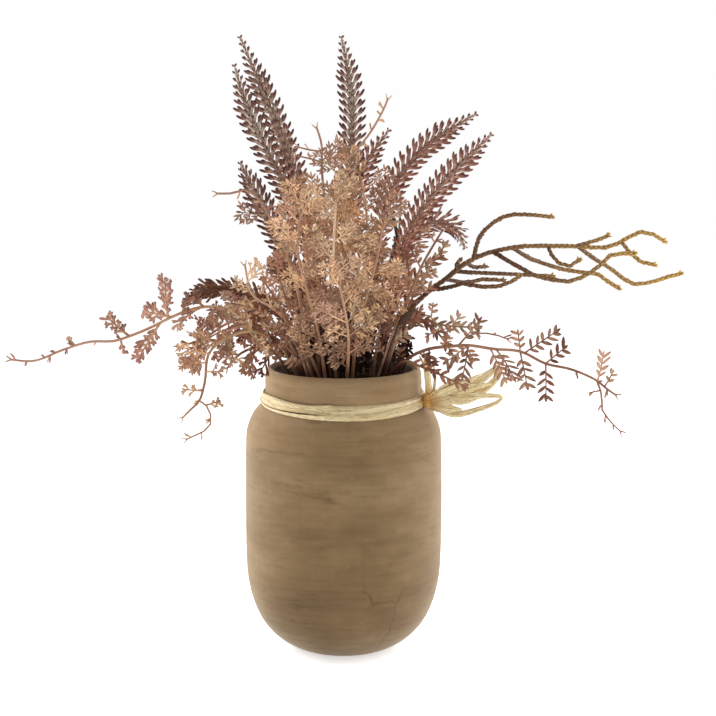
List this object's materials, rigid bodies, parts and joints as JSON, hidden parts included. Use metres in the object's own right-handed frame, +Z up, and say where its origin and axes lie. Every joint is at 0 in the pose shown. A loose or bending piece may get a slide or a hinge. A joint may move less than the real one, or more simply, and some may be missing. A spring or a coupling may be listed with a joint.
{
  "type": "vase of dried flowers",
  "caption": "Dried arrangement of fern plumes, leafy sprays, tan filigree and twigs standing in a matte clay jar with a raffia band and bow round its neck.",
  "frame": {"origin": "centre of the jar's flat base, on the surface that it stands on", "axes": "+Z up along the jar's turning axis, +X to the right as seen from the front, +Y away from the front"},
  "size_m": [0.3793, 0.1353, 0.3483],
  "materials": {
    "jar_clay": "matte",
    "foam": "matte",
    "raffia": "matte",
    "plume": "matte",
    "leaf": "matte",
    "tan_leaf": "matte",
    "twig": "matte",
    "stem_dark_green": "matte",
    "stem_light_green": "matte"
  },
  "bodies": {
    "root": {"jar": "jar_clay", "foam_block": "foam", "raffia_tie": "raffia", "fern_plume_left_tall": "plume", "fern_plume_left_second": "plume", "fern_plume_left_arch": "plume", "fern_plume_left_low": "plume", "fern_plume_centre": "plume", "fern_plume_back_centre": "plume", "fern_plume_back_left": "plume", "fern_plume_right_upper": "plume", "fern_plume_right_lower": "plume", "fern_plume_right_arch": "plume", "leaf_spray_left_long": "leaf", "leaf_spray_left_droop": "leaf", "leaf_spray_left_back": "leaf", "leaf_spray_left_rim": "leaf", "leaf_spray_right_long": "leaf", "leaf_spray_right_up": "leaf", "leaf_spray_right_inner": "leaf", "tan_spray_centre_tall": "tan_leaf", "tan_spray_top_left": "tan_leaf", "tan_spray_upper_left": "tan_leaf", "tan_spray_left": "tan_leaf", "tan_spray_inner_left": "tan_leaf", "tan_spray_inner_right": "tan_leaf", "tan_spray_front": "tan_leaf", "twig_branch": "twig", "green_stem_dark": "stem_dark_green", "green_stem_light": "stem_light_green"}
  },
  "joints": []
}
